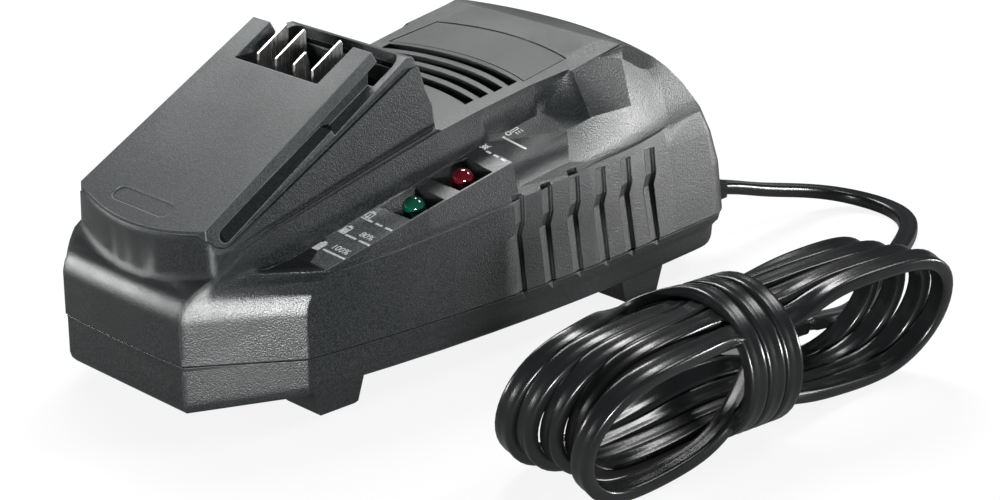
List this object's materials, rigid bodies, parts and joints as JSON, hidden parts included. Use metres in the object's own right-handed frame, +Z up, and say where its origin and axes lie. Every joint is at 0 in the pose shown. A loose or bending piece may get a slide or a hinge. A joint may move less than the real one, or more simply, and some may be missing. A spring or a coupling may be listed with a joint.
{
  "type": "power tool battery charger",
  "caption": "Wedge-shaped charger for a slide-on power tool battery, with a sloping rail dock, upright contact blades, a lamp strip, stepped side ribs and a mains lead in a hank.",
  "frame": {"origin": "middle of the housing's outline, on the table under its feet", "axes": "+Y from the nose to the lead's end of the housing, +Z up, +X towards the lamp strip's side"},
  "size_m": [0.1898, 0.2671, 0.0886],
  "materials": {
    "housing_plastic": "fine spark texture",
    "base_plastic": "fine spark texture",
    "dock_plastic": "fine spark texture",
    "carrier_plastic": "plain",
    "blade_metal": "nickel plated",
    "plate_film": "plain satin",
    "green_lens": "clear tinted",
    "red_lens": "clear tinted",
    "board_laminate": "plain",
    "wire_yellow": "plain",
    "ferrite": "ground ferrite",
    "bobbin_plastic": "plain",
    "winding_tape": "tape over enamelled wire",
    "capacitor_sleeve": "shrink sleeve",
    "copper_winding": "enamelled wire",
    "film_case": "plain",
    "fuse_ceramic": "plain",
    "sink_aluminium": "extruded",
    "device_epoxy": "plain",
    "wire_red": "plain",
    "screw_steel": "zinc plated",
    "wire_blue": "plain",
    "lead_plastic": "soft plastic",
    "plug_plastic": "plain",
    "pin_brass": "nickel plated"
  },
  "bodies": {
    "root": {"upper_housing": "housing_plastic", "lower_housing": "base_plastic", "battery_dock": "dock_plastic", "dock_screws": "screw_steel", "contact_carrier": "carrier_plastic", "contact_blades": "blade_metal", "short_blade": "blade_metal", "name_plate": "plate_film", "green_lamp": "green_lens", "red_lamp": "red_lens", "lamp_board": "board_laminate", "lamp_leads": "wire_yellow", "circuit_board": "board_laminate", "transformer_core": "ferrite", "transformer_bobbin": "bobbin_plastic", "transformer_winding": "winding_tape", "mains_capacitor": "capacitor_sleeve", "output_capacitors": "capacitor_sleeve", "line_choke": "copper_winding", "film_capacitor": "film_case", "mains_fuse": "fuse_ceramic", "heat_sinks": "sink_aluminium", "switch_transistor": "device_epoxy", "output_rectifier": "device_epoxy", "control_chips": "device_epoxy", "dock_leads": "wire_red", "board_screws": "screw_steel", "housing_screws": "screw_steel", "mains_wires": "wire_blue", "lead_clamp": "carrier_plastic", "clamp_screws": "screw_steel", "strain_relief": "lead_plastic", "mains_lead": "lead_plastic", "lead_hank": "lead_plastic", "plug_body": "plug_plastic", "plug_pins": "pin_brass"}
  },
  "joints": []
}
